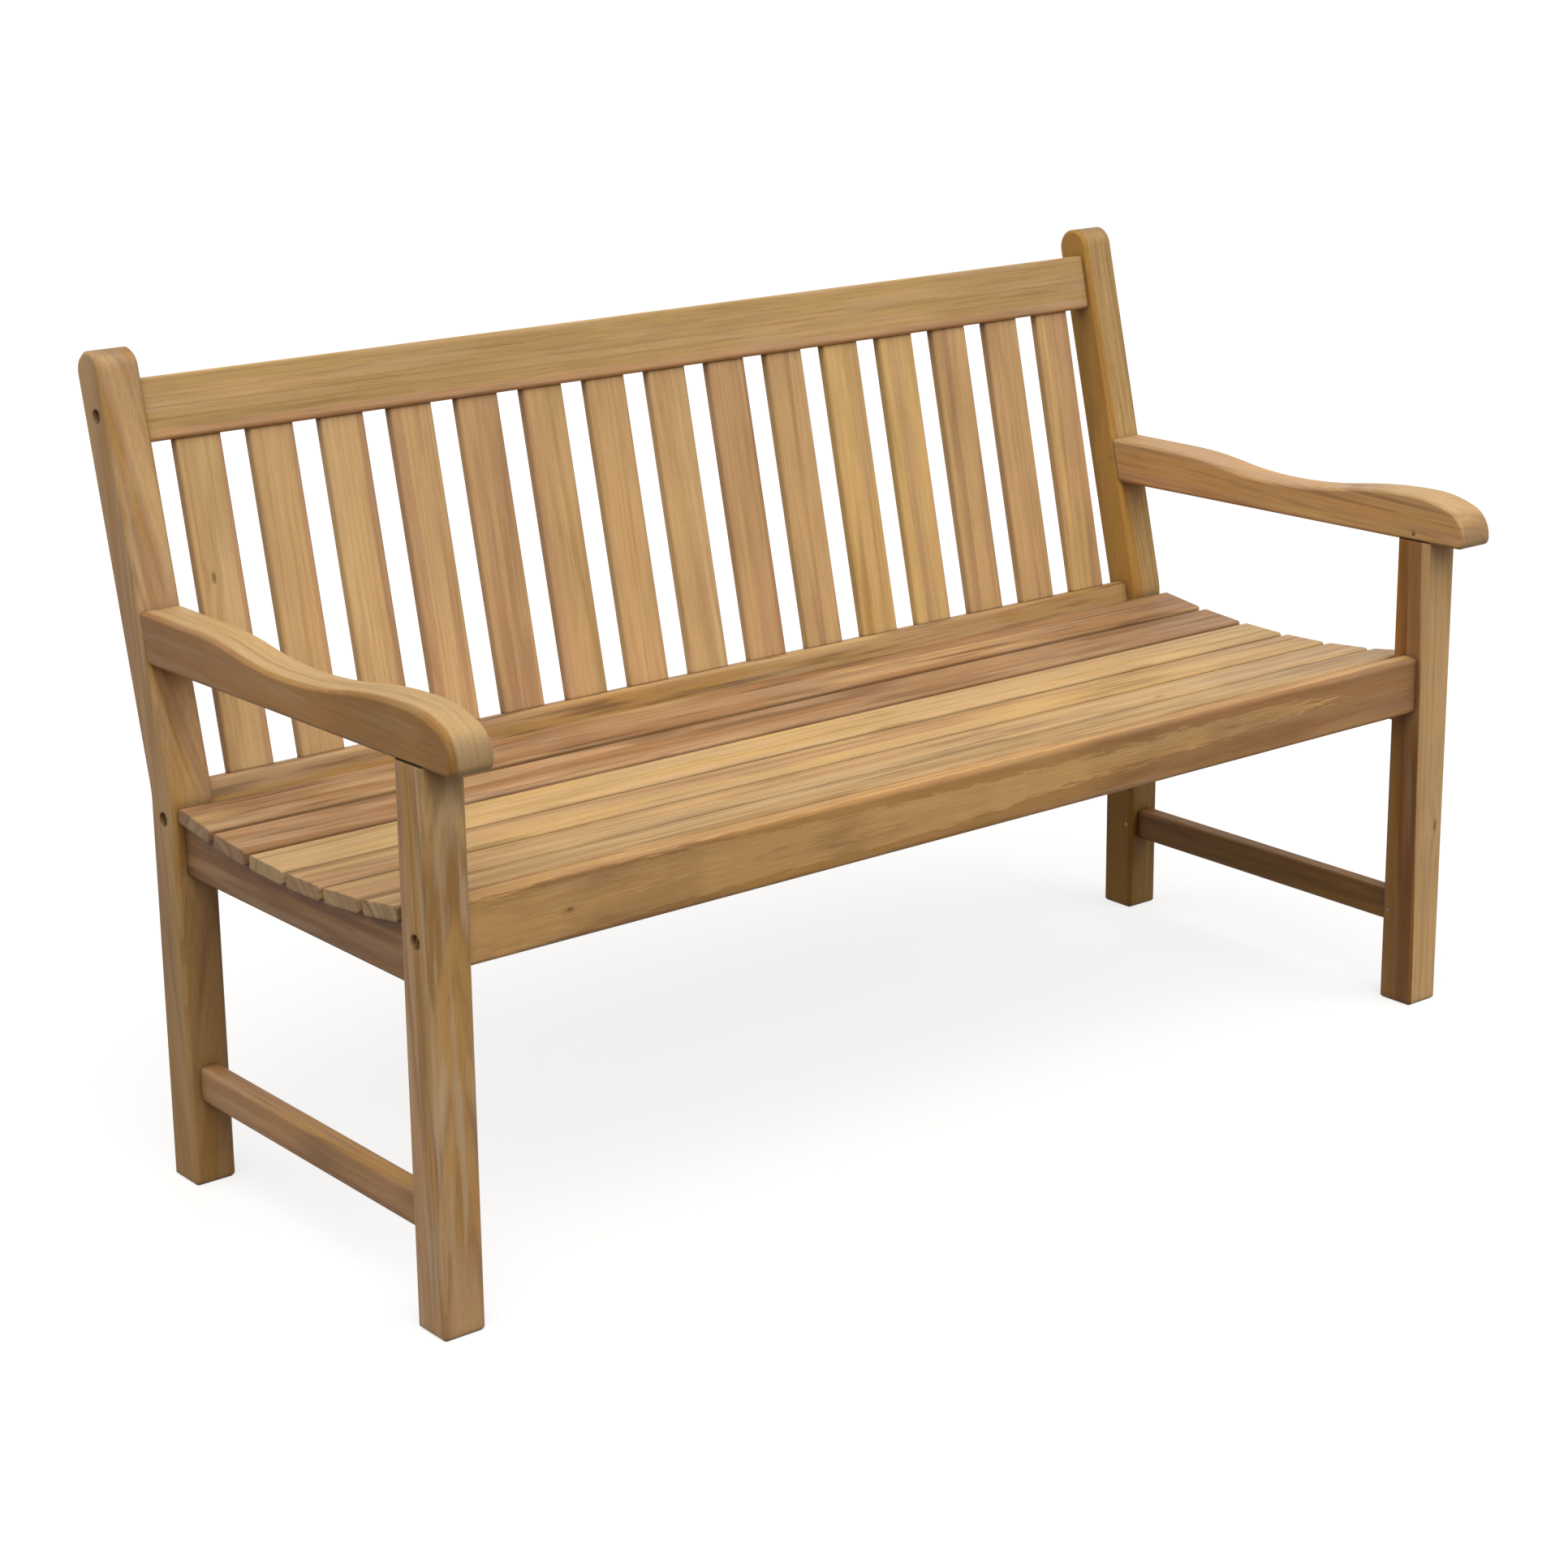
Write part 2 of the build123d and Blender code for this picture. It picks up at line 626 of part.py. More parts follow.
# Loose tenons, glued between the seat slats and the rails and bearer that carry them
with BuildPart() as loose_tenons:
    for x in carrier_xs:
        for flat in loose_tenon_planes(x):
            sunk = flat.offset(LOOSE_TENON_BITE - LOOSE_TENON_LENGTH)
            tenon(sunk, LOOSE_TENON_THICK, LOOSE_TENON_WIDTH, LOOSE_TENON_LENGTH)
keep(loose_tenons, "seat_loose_tenons")

# Locking pins, flush with the inner faces of the end frames
with BuildPart() as locking_pins:
    with BuildSketch(*[pin_face(side, name) for side in SIDES.values() for name in pins]):
        RegularPolygon(PIN_DIAMETER / 2, PIN_SIDES, major_radius=False)
    extrude(amount=-PIN_LENGTH)
keep(locking_pins, "locking_pins")

# Bolts and barrel nuts of the long rails
bolt_seats = [
    Plane(
        origin=(side * (LENGTH / 2 - RECESS_DEPTH), core.Y, core.Z),
        x_dir=(0, 1, 0),
        z_dir=(side, 0, 0),
    )
    for side in SIDES.values()
    for core in rail_cores.values()
]
bolt_length = LEG - RECESS_DEPTH + NUT_INSET + NUT_DIAMETER / 2 + BOLT_TAIL

with BuildPart() as bolts:
    with BuildSketch(*bolt_seats):
        RegularPolygon(BOLT_DIAMETER / 2, BOLT_SIDES)
    extrude(amount=-bolt_length)
    with Locations(*bolt_seats):
        Cylinder(BOLT_HEAD_DIAMETER / 2, BOLT_HEAD_HEIGHT, align=ON_FACE)
    with BuildSketch(*[seat.offset(BOLT_HEAD_HEIGHT) for seat in bolt_seats]):
        RegularPolygon(BOLT_SOCKET / 2, 6, major_radius=False)
    extrude(amount=-BOLT_SOCKET_DEPTH, mode=Mode.SUBTRACT)
keep(bolts, "rail_bolts")

with BuildPart() as nuts:
    for name, face in rail_faces.items():
        for side in SIDES.values():
            middle = face.from_local_coords((side * (inner_x - NUT_INSET), 0, -RAIL_THICK / 2))
            with Locations(Plane(origin=middle, x_dir=(1, 0, 0), z_dir=face.z_dir)):
                Cylinder(NUT_DIAMETER / 2, NUT_LENGTH)
            mouth = Plane(origin=middle, x_dir=face.z_dir, z_dir=(1, 0, 0))
            shank_hole(mouth.offset(NUT_DIAMETER / 2), NUT_FIT, NUT_DIAMETER)
keep(nuts, "barrel_nuts")
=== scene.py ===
import math
import random

import bpy
from mathutils import Matrix, Vector


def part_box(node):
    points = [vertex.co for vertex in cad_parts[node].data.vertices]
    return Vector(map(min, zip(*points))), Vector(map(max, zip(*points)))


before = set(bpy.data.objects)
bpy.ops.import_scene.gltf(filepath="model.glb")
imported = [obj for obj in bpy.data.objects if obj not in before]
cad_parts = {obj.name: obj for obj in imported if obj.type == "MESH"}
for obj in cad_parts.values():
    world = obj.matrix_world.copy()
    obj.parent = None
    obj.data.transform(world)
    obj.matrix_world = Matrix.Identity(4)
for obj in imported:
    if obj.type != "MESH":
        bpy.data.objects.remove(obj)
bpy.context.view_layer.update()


# Front legs.
# Two square posts of solid teak, planed and sanded, with rounded arrises and a small bevel at
# the foot. Each is sawn near the heart of the tree, so its rings show as long tapering arches.
def add(tree, kind, inputs=None, **settings):
    node = tree.nodes.new(kind)
    for setting, value in settings.items():
        setattr(node, setting, value)
    for socket, value in (inputs or {}).items():
        if isinstance(value, bpy.types.NodeSocket):
            tree.links.new(value, node.inputs[socket])
        else:
            node.inputs[socket].default_value = value
    return node


def number(tree, operation, *values):
    return add(tree, "ShaderNodeMath", dict(enumerate(values)), operation=operation).outputs[0]


def scaled(tree, vector, share):
    inputs = {0: vector, "Scale": share}
    return add(tree, "ShaderNodeVectorMath", inputs, operation="SCALE").outputs[0]


def joined(tree, first, second, operation="ADD"):
    return add(tree, "ShaderNodeVectorMath", {0: first, 1: second}, operation=operation).outputs[0]


def dotted(tree, first, second):
    node = add(tree, "ShaderNodeVectorMath", {0: first, 1: second}, operation="DOT_PRODUCT")
    return node.outputs["Value"]


def length(tree, vector):
    return add(tree, "ShaderNodeVectorMath", {0: vector}, operation="LENGTH").outputs["Value"]


def spread(tree, value, low, high, bottom=0.0, top=1.0):
    ends = {0: value, 1: low, 2: high, 3: bottom, 4: top}
    return add(tree, "ShaderNodeMapRange", ends, interpolation_type="SMOOTHSTEP").outputs[0]


def noise(tree, place, scale, detail):
    inputs = {"Vector": place, "Scale": scale, "Detail": detail}
    return add(tree, "ShaderNodeTexNoise", inputs).outputs[0]


def blend(tree, share, first, second, kind="MIX"):
    inputs = {0: share, 6: first, 7: second}
    return add(tree, "ShaderNodeMix", inputs, data_type="RGBA", blend_type=kind).outputs[2]


def tone(red, green, blue):
    levels = [level / 255 for level in (red, green, blue)]
    return tuple(((level + 0.055) / 1.055) ** 2.4 for level in levels) + (1.0,)


teak_grain = bpy.data.node_groups.new("teak_grain", "ShaderNodeTree")
GRAIN_INPUTS = (
    ("Heart", "NodeSocketVector"),
    ("Grain", "NodeSocketVector"),
    ("Ring Width", "NodeSocketFloat"),
    ("Wander", "NodeSocketFloat"),
    ("Ragged", "NodeSocketFloat"),
    ("Rings", "NodeSocketFloat"),
    ("Streaks", "NodeSocketFloat"),
    ("Bleach", "NodeSocketFloat"),
    ("Low Shade", "NodeSocketFloat"),
    ("Light", "NodeSocketColor"),
    ("Deep", "NodeSocketColor"),
    ("Stripe", "NodeSocketColor"),
    ("Line", "NodeSocketColor"),
    ("Dark", "NodeSocketColor"),
    ("Ash", "NodeSocketColor"),
    ("Core Reach", "NodeSocketFloat"),
    ("Core", "NodeSocketColor"),
    ("Knot", "NodeSocketVector"),
    ("Knot Size", "NodeSocketFloat"),
)
for name, kind in GRAIN_INPUTS:
    teak_grain.interface.new_socket(name, in_out="INPUT", socket_type=kind)
teak_grain.interface.new_socket("Colour", in_out="OUTPUT", socket_type="NodeSocketColor")
teak_grain.interface.new_socket("Roughness", in_out="OUTPUT", socket_type="NodeSocketFloat")
teak_grain.interface.new_socket("Height", in_out="OUTPUT", socket_type="NodeSocketFloat")

# How many of each mark lie side by side in a metre
SLOW_WAVES, QUICK_WAVES, TORN_EDGES = 14.0, 55.0, 420.0
BANDS, STRIPES, DARK_STREAKS, CLOSE_LINES = 38.0, 60.0, 130.0, 300.0
CLOUDS, FIBRES, PORES, BLEACHED_PATCHES = 16.0, 650.0, 1300.0, 80.0
UNEVEN_YEARS = 45.0
# How much a knot is drawn out along the grain, and how soft the edge of the core is, in metres
KNOT_STRETCH = 0.6
CORE_EDGE = 0.0003
# Painted low shade is full below the first height and gone at the second, and painted shade with
# some dust fills gaps of this reach
LOW_SHADE_HEIGHTS = (0.28, 0.5)
LOW_SHADE_TINT = (0.5, 0.41, 0.18, 1.0)
DUST_AND_SHADE_REACH = 0.014
END_TINT = (0.46, 0.48, 0.54, 1.0)


def fill_teak_grain(tree):
    given = tree.nodes.new("NodeGroupInput").outputs
    place = tree.nodes.new("ShaderNodeTexCoord").outputs["Object"]
    normal = tree.nodes.new("ShaderNodeNewGeometry").outputs["Normal"]
    # Distance along the grain, and place across it, both from the heart of the tree
    from_heart = joined(tree, place, given["Heart"], "SUBTRACT")
    along = dotted(tree, from_heart, given["Grain"])
    lengthwise = scaled(tree, given["Grain"], along)
    across = joined(tree, from_heart, lengthwise, "SUBTRACT")
    own = scaled(tree, given["Heart"], 7.0)

    def drawn_out(share):
        return joined(tree, joined(tree, across, scaled(tree, lengthwise, share)), own)

    # A knot pushes the rings aside round it
    from_knot = joined(tree, place, given["Knot"], "SUBTRACT")
    knot_along = dotted(tree, from_knot, given["Grain"])
    stretch = scaled(tree, given["Grain"], number(tree, "MULTIPLY", knot_along, KNOT_STRETCH))
    knot_far = length(tree, joined(tree, from_knot, stretch, "SUBTRACT"))
    knot_size = number(tree, "MAXIMUM", given["Knot Size"], 0.0001)
    knot_far = number(tree, "DIVIDE", knot_far, knot_size)
    push = number(tree, "MULTIPLY", spread(tree, knot_far, 0.0, 5.0, 1.5, 0.0), given["Knot Size"])

    # Growth rings: round the heart, wandering slowly, with edges that the saw leaves ragged
    width = length(tree, across)
    slow = number(tree, "SUBTRACT", noise(tree, drawn_out(0.05), SLOW_WAVES, 2.0), 0.5)
    quick = number(tree, "SUBTRACT", noise(tree, drawn_out(0.07), QUICK_WAVES, 2.0), 0.5)
    torn = number(tree, "SUBTRACT", noise(tree, drawn_out(0.07), TORN_EDGES, 4.0), 0.5)
    small_wander = number(tree, "MULTIPLY", given["Wander"], 0.25)
    width = number(tree, "MULTIPLY_ADD", slow, given["Wander"], width)
    width = number(tree, "MULTIPLY_ADD", quick, small_wander, width)
    width = number(tree, "MULTIPLY_ADD", torn, given["Ragged"], width)
    width = number(tree, "ADD", width, push)
    own_number = dotted(tree, given["Heart"], (31.0, 17.0, 11.0))
    log = {0: width, 1: number(tree, "MULTIPLY", along, 0.03), 2: own_number}
    log = add(tree, "ShaderNodeCombineXYZ", log).outputs[0]
    rings = number(tree, "DIVIDE", width, given["Ring Width"])
    rings = number(tree, "MULTIPLY_ADD", noise(tree, log, UNEVEN_YEARS, 1.0), 1.6, rings)
    late = add(tree, "ShaderNodeValToRGB", {0: number(tree, "FRACT", rings)})
    ramp = late.color_ramp.elements
    ramp[0].color = (0.0, 0.0, 0.0, 1.0)
    ramp[1].color = (0.0, 0.0, 0.0, 1.0)
    ramp.new(0.5).color = (0.1, 0.1, 0.1, 1.0)
    ramp.new(0.88).color = (1.0, 1.0, 1.0, 1.0)
    year = {0: number(tree, "FLOOR", rings), 1: own_number}
    year = {"Vector": add(tree, "ShaderNodeCombineXYZ", year).outputs[0]}
    year = add(tree, "ShaderNodeTexWhiteNoise", year, noise_dimensions="2D").outputs["Value"]
    late = number(tree, "MULTIPLY", late.outputs[0], spread(tree, year, 0.3, 1.0, 0.12, 1.0))

    # Broad bands of lighter and deeper heartwood, then dark streaks and the ring lines
    bands = spread(tree, noise(tree, log, BANDS, 2.0), 0.36, 0.64)
    colour = blend(tree, bands, given["Light"], given["Deep"])
    beside = joined(tree, log, (0.0, 0.0, 5.0))
    stripes = spread(tree, noise(tree, beside, STRIPES, 2.0), 0.5, 0.62, 0.0, 0.85)
    colour = blend(tree, stripes, colour, given["Stripe"])
    core = number(tree, "SUBTRACT", width, given["Core Reach"])
    core = spread(tree, core, -CORE_EDGE, CORE_EDGE, 1.0, 0.0)
    colour = blend(tree, core, colour, given["Core"])
    streaks = spread(tree, noise(tree, log, DARK_STREAKS, 3.0), 0.51, 0.68)
    colour = blend(tree, number(tree, "MULTIPLY", streaks, given["Streaks"]), colour, given["Dark"])
    colour = blend(tree, number(tree, "MULTIPLY", late, given["Rings"]), colour, given["Line"])
    knotted = spread(tree, knot_far, 0.4, 1.1, 0.7, 0.0)
    colour = blend(tree, knotted, colour, given["Dark"])

    # Faint close lines, fine fibres, short open pores and a cloudy figure
    figure = noise(tree, drawn_out(0.3), CLOUDS, 3.0)
    colour = blend(tree, 1.0, colour, spread(tree, figure, 0.33, 0.67, 0.92, 1.06), "MULTIPLY")
    lines = spread(tree, noise(tree, log, CLOSE_LINES, 3.0), 0.5, 0.72)
    lines = number(tree, "MULTIPLY", lines, spread(tree, figure, 0.3, 0.7, 1.0, 0.15))
    lines = number(tree, "MULTIPLY", lines, given["Rings"])
    colour = blend(tree, lines, colour, given["Line"])
    fibres = noise(tree, drawn_out(0.02), FIBRES, 2.0)
    colour = blend(tree, 1.0, colour, spread(tree, fibres, 0.25, 0.75, 0.92, 1.06), "MULTIPLY")
    pores = spread(tree, noise(tree, drawn_out(0.04), PORES, 1.0), 0.62, 0.74)
    colour = blend(tree, number(tree, "MULTIPLY", pores, 0.12), colour, given["Dark"])

    # Sun and rain bleach some patches, painted shade darkens and warms the wood below the seat, and
    # painted shade with some dust and oil darkens gaps and joints
    bleached = spread(tree, noise(tree, drawn_out(0.06), BLEACHED_PATCHES, 4.0), 0.5, 0.66)
    colour = blend(tree, number(tree, "MULTIPLY", bleached, given["Bleach"]), colour, given["Ash"])
    # Painted shade: the wood turns darker and warmer below the seat, by each piece's own amount
    low_shade = spread(tree, dotted(tree, place, (0.0, 0.0, 1.0)), *LOW_SHADE_HEIGHTS, 1.0, 0.0)
    low_shade = number(tree, "MULTIPLY", low_shade, given["Low Shade"])
    colour = blend(tree, low_shade, colour, LOW_SHADE_TINT, "MULTIPLY")
    # Painted shade, with some dust: ambient occlusion darkens the colour in gaps, creases and
    # joints
    open_share = add(tree, "ShaderNodeAmbientOcclusion", {"Distance": DUST_AND_SHADE_REACH}, samples=4)
    dust_and_shade = spread(tree, open_share.outputs["AO"], 0.15, 0.95, 0.38, 1.0)
    colour = blend(tree, 1.0, colour, dust_and_shade, "MULTIPLY")

    # Sawn ends drink more oil, so they are deeper and duller
    facing = number(tree, "ABSOLUTE", dotted(tree, normal, given["Grain"]))
    ends = spread(tree, facing, 0.55, 0.95, 0.0, 0.55)
    colour = blend(tree, ends, colour, END_TINT, "MULTIPLY")

    height = number(tree, "SUBTRACT", fibres, number(tree, "MULTIPLY", pores, 0.8))
    height = number(tree, "SUBTRACT", height, number(tree, "MULTIPLY", late, 0.25))
    roughness = spread(tree, height, -0.6, 0.8, 0.72, 0.5)
    results = tree.nodes.new("NodeGroupOutput").inputs
    tree.links.new(colour, results["Colour"])
    tree.links.new(roughness, results["Roughness"])
    tree.links.new(height, results["Height"])


fill_teak_grain(teak_grain)

TAN = tone(204, 166, 116)
PALE = tone(214, 179, 130)
GOLD = tone(214, 177, 116)
ROSE = tone(196, 154, 112)
FAWN = tone(198, 163, 114)
OLIVE = tone(190, 156, 102)
WHEAT = tone(204, 160, 104)
HONEY = tone(184, 140, 76)
SAFFRON = tone(188, 141, 68)
AMBER = tone(164, 116, 52)
DUN = tone(178, 139, 100)
TOBACCO = tone(134, 88, 44)
WALNUT = tone(146, 108, 76)
ASH = tone(196, 170, 138)
BROWN = tone(166, 122, 78)
LINE = tone(146, 102, 64)
UMBER = tone(104, 72, 46)
NO_KNOT = ((0.0, 0.0, 0.0), 0.0)
ARRIS = 0.004
FIBRE_DEPTH = 0.0006


def teak(node_name, grain, heart, light, deep, stripe, ring=0.008, wander=0.012, ragged=0.001,
         rings=0.5, streaks=0.35, bleach=0.25, low_shade=0.0, core=(0.0, ROSE), knot=NO_KNOT):
    low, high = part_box(node_name)
    middle = (low + high) / 2
    finish = bpy.data.materials.new("teak_" + node_name)
    finish.use_nodes = True
    tree = finish.node_tree
    values = {
        "Heart": middle + Vector(heart),
        "Grain": Vector(grain).normalized(),
        "Ring Width": ring,
        "Wander": wander,
        "Ragged": ragged,
        "Rings": rings,
        "Streaks": streaks,
        "Bleach": bleach,
        "Low Shade": low_shade,
        "Light": light,
        "Deep": deep,
        "Stripe": stripe,
        "Line": LINE,
        "Dark": UMBER,
        "Ash": ASH,
        "Core Reach": core[0],
        "Core": core[1],
        "Knot": middle + Vector(knot[0]),
        "Knot Size": knot[1],
    }
    wood = tree.nodes.new("ShaderNodeGroup")
    wood.node_tree = teak_grain
    for socket, value in values.items():
        wood.inputs[socket].default_value = value
    arris = add(tree, "ShaderNodeBevel", {"Radius": ARRIS}, samples=4)
    relief = {"Strength": 0.35, "Distance": FIBRE_DEPTH, "Height": wood.outputs["Height"]}
    bump = add(tree, "ShaderNodeBump", relief | {"Normal": arris.outputs[0]})
    shader = tree.nodes["Principled BSDF"]
    shader.inputs["Specular IOR Level"].default_value = 0.3
    tree.links.new(wood.outputs["Colour"], shader.inputs["Base Color"])
    tree.links.new(wood.outputs["Roughness"], shader.inputs["Roughness"])
    tree.links.new(bump.outputs["Normal"], shader.inputs["Normal"])
    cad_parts[node_name].material_slots[0].material = finish


UPRIGHT = Vector((0.0, 0.0, 1.0))
teak("left_front_leg", UPRIGHT + Vector((0.01, 0.04, 0.0)), (0.004, 0.027, 0.0),
     PALE, DUN, HONEY, wander=0.016, streaks=0.45, bleach=0.65, core=(0.04, ROSE))
# The right leg's dark tones cover its inner side and back, as painted shade on the inner side, and
# its paler core covers the front face
teak("right_front_leg", UPRIGHT + Vector((-0.01, 0.01, 0.0)), (0.03, -0.05, 0.0),
     TOBACCO, AMBER, BROWN, rings=0.3, streaks=0.2, bleach=0.15, core=(0.061, TAN),
     knot=((0.01, -0.025, -0.08), 0.004))


# Rear legs.
# Each is one cranked piece of teak, upright below the seat and leaning back above it, band sawn
# from a wide plank and rounded at the top. The straight grain runs out a little at both ends.
POST_LEAN = math.radians(13.3)
leaning = Vector((0.0, math.sin(POST_LEAN), math.cos(POST_LEAN)))
between = UPRIGHT + leaning
# Both legs are darkened below the seat as painted shade. On the right leg the saffron inner side is
# painted warm shade, and the olive core covers the rest.
teak("left_rear_leg", between, (0.06, 0.03, 0.0), TAN, DUN, HONEY, ring=0.007,
     rings=0.35, streaks=0.3, low_shade=0.55)
teak("right_rear_leg", between, (0.6, 0.05, 0.0), SAFFRON, SAFFRON, HONEY, ring=0.006,
     wander=0.004, bleach=0.0, low_shade=0.8, core=(0.622, OLIVE))


# Seat side rails and stretchers.
# Flat teak bars that tie a front leg to a rear leg, with tenons locked in the legs' mortises.
# Their grain runs from front to back.
CROSSWISE = Vector((0.0, 1.0, 0.0))
# The rails' deep tones and their darkening below the seat are painted shade under the overhanging
# slats. The right stretcher's deeper tone and its darkening low down are painted shade too; the
# left one has none.
for side, sign, bar in (("left", -1, DUN), ("right", 1, BROWN)):
    teak(side + "_seat_rail", CROSSWISE, (0.02 * sign, 0.0, 0.07), WALNUT, TOBACCO, BROWN,
         streaks=0.5, bleach=0.3, low_shade=0.5)
    teak(side + "_stretcher", CROSSWISE, (-0.03 * sign, 0.0, 0.01), bar, BROWN, HONEY, ring=0.005,
         streaks=0.5, bleach=0.15, low_shade=0.35 + 0.35 * sign)


# Armrests.
# Teak arms sawn to a dipped curve from thick stock, rounded over and sanded, with a full nose.
# The left one is paler above than on its outer side. Both show their rings on the nose.
teak("left_armrest", CROSSWISE + Vector((0.0, 0.0, 0.02)), (0.15, 0.0, 0.0), HONEY, BROWN, AMBER,
     wander=0.008, rings=0.3, streaks=0.3, bleach=0.18, core=(0.168, FAWN))
teak("right_armrest", CROSSWISE + Vector((0.0, 0.0, 0.03)), (-0.02, 0.0, -0.1),
     TAN, ROSE, WHEAT, bleach=0.2)


# Front seat rail.
# A flat sawn teak board on edge, whose face nearly follows the rings, so it shows ragged
# islands of lighter wood. Its top edge is rounded over beside the first seat slat.
SIDEWAYS = Vector((1.0, 0.0, 0.0))
teak("front_seat_rail", SIDEWAYS + Vector((0.0, 0.006, 0.0)), (0.0, 0.09, 0.004),
     BROWN, HONEY, AMBER, ring=0.006, ragged=0.005, rings=0.6, bleach=0.15, core=(0.1039, WHEAT),
     knot=((-0.575, -0.0125, -0.002), 0.0022))


# Back rails.
# The lower rail carries the feet of the upright slats, just above the seat, and the top rail
# holds their heads. Both are straight grained teak, bolted between the rear legs.
teak("lower_back_rail", SIDEWAYS + Vector((0.0, 0.0, 0.01)), (0.0, 0.06, 0.06), TAN, DUN, HONEY,
     streaks=0.8)
teak("top_back_rail", SIDEWAYS, (0.0, 0.0, -0.08), OLIVE, OLIVE, TAN, ring=0.006, wander=0.004,
     rings=0.35, streaks=0.2, core=(0.063, ROSE))


# Upright back slats.
# Fifteen thin teak slats with eased edges, let into mortises in the two back rails.
# They come from different boards, so their tint and figure differ from one to the next.
BACK_SLATS = (
    # Light, deep and stripe tones, how far aside the heart lies, reach and tone of the core
    (PALE, TAN, OLIVE, 0.045, 0.036, ROSE),
    (TAN, PALE, TAN, 0.045, 0.036, ROSE),
    (PALE, TAN, PALE, 0.045, 0.036, DUN),
    (PALE, TAN, ROSE, -0.045, 0.041, ROSE),
    (TAN, ROSE, DUN, 0.05, 0.0, ROSE),
    (OLIVE, TAN, TAN, -0.045, 0.037, ROSE),
    (TAN, TAN, ROSE, 0.06, 0.0, ROSE),
    (PALE, TAN, TAN, -0.04, 0.0, ROSE),
    (TAN, ROSE, ROSE, 0.045, 0.036, DUN),
    (TAN, TAN, DUN, -0.07, 0.0, ROSE),
    (TAN, GOLD, HONEY, 0.05, 0.0, ROSE),
    (TAN, GOLD, TAN, -0.045, 0.04, GOLD),
    (TAN, TAN, DUN, 0.06, 0.0, ROSE),
    (TAN, ROSE, TAN, -0.05, 0.0, ROSE),
    (TAN, ROSE, GOLD, 0.05, 0.0, ROSE),
)
SLAT_KNOTS = {1: ((-0.009, 0.0, 0.03), 0.0035)}
draw = random.Random(7)
for count, (light, deep, stripe, aside, reach, core) in enumerate(BACK_SLATS, start=1):
    slope = Vector((draw.uniform(-0.012, 0.012), draw.uniform(-0.015, 0.015), 0.0))
    teak(f"back_slat_{count:02d}", leaning + slope, (aside, 0.02, 0.0), light, deep, stripe,
         ring=draw.uniform(0.007, 0.011), wander=0.01, rings=0.22, streaks=0.18, bleach=0.15,
         core=(reach, core), knot=SLAT_KNOTS.get(count, NO_KNOT))


# Seat slats, their bearer and their tenons.
# Six long boards lie across the side rails and a hidden middle bearer, and small loose tenons
# hold them from below. The boards weren't matched for colour, so they run from brown to gold.
SEAT_SLATS = (
    # Light, deep and stripe tones, and the strength of the dark streaks
    (PALE, TAN, OLIVE, 0.45),
    (PALE, TAN, ROSE, 0.4),
    (TAN, GOLD, ROSE, 0.4),
    (PALE, GOLD, PALE, 0.2),
    # The two rear boards are deeper in tone, partly as painted shade under the back
    (DUN, ROSE, BROWN, 0.6),
    (DUN, BROWN, TAN, 0.75),
)
SEAT_KNOTS = {2: ((0.389, -0.018, 0.0105), 0.004)}
for count, (light, deep, stripe, streaks) in enumerate(SEAT_SLATS, start=1):
    slope = Vector((0.0, draw.uniform(-0.008, 0.008), draw.uniform(-0.01, 0.01)))
    heart = (0.0, draw.choice((-1, 1)) * draw.uniform(0.03, 0.06), draw.uniform(-0.05, -0.02))
    teak(f"seat_slat_{count}", SIDEWAYS + slope, heart, light, deep, stripe,
         ring=draw.uniform(0.006, 0.009), wander=0.008, rings=0.6, streaks=streaks,
         knot=SEAT_KNOTS.get(count, NO_KNOT))
teak("middle_seat_bearer", CROSSWISE, (0.03, 0.0, 0.05), TAN, BROWN, ROSE)
teak("seat_loose_tenons", UPRIGHT, (0.0, 0.0, 0.0), TAN, BROWN, ROSE)


# Bolts, barrel nuts and locking pins.
# Six hexagon socket bolts with a dull yellow zinc coat sit deep in round recesses in the legs and
# draw the long rails up to barrel nuts. Thin dull pins lock the tenons of the end frames.
GRIT = 900.0


def coated_metal(name, dull, bright, fasteners):
    finish = bpy.data.materials.new(name)
    finish.use_nodes = True
    tree = finish.node_tree
    grit = noise(tree, tree.nodes.new("ShaderNodeTexCoord").outputs["Object"], GRIT, 3.0)
    shader = tree.nodes["Principled BSDF"]
    shader.inputs["Metallic"].default_value = 0.9
    tree.links.new(blend(tree, grit, dull, bright), shader.inputs["Base Color"])
    tree.links.new(spread(tree, grit, 0.3, 0.7, 0.35, 0.55), shader.inputs["Roughness"])
    for fastener in fasteners:
        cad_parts[fastener].material_slots[0].material = finish


coated_metal("yellow_zinc", tone(128, 112, 70), tone(172, 152, 98), ("rail_bolts", "barrel_nuts"))
coated_metal("dull_steel", tone(112, 100, 82), tone(142, 130, 108), ("locking_pins",))


# Floor and light.
# A plain white floor keeps a soft shadow. A wide soft sky lights the bench, brightest high up in
# front and on the left, weaker from behind, and looks plain white to the camera.
FLOOR_REACH = 40.0
WARM_BOUNCE = (0.08, 0.062, 0.042, 1.0)
SHADOW_GREY = (0.32, 0.32, 0.32, 1.0)
FLOOR_GLOW = 0.74
floor_mesh = bpy.data.meshes.new("floor")
signs = ((-1, -1), (1, -1), (1, 1), (-1, 1))
corners = [(x * FLOOR_REACH, y * FLOOR_REACH, 0.0) for x, y in signs]
floor_mesh.from_pydata(corners, [], [(0, 1, 2, 3)])
floor = bpy.data.objects.new("floor", floor_mesh)
bpy.context.scene.collection.objects.link(floor)


def seen_directly(tree):
    rays = tree.nodes.new("ShaderNodeLightPath").outputs
    seen = number(tree, "MAXIMUM", rays["Is Camera Ray"], rays["Is Glossy Ray"])
    return number(tree, "MAXIMUM", seen, rays["Is Transmission Ray"])


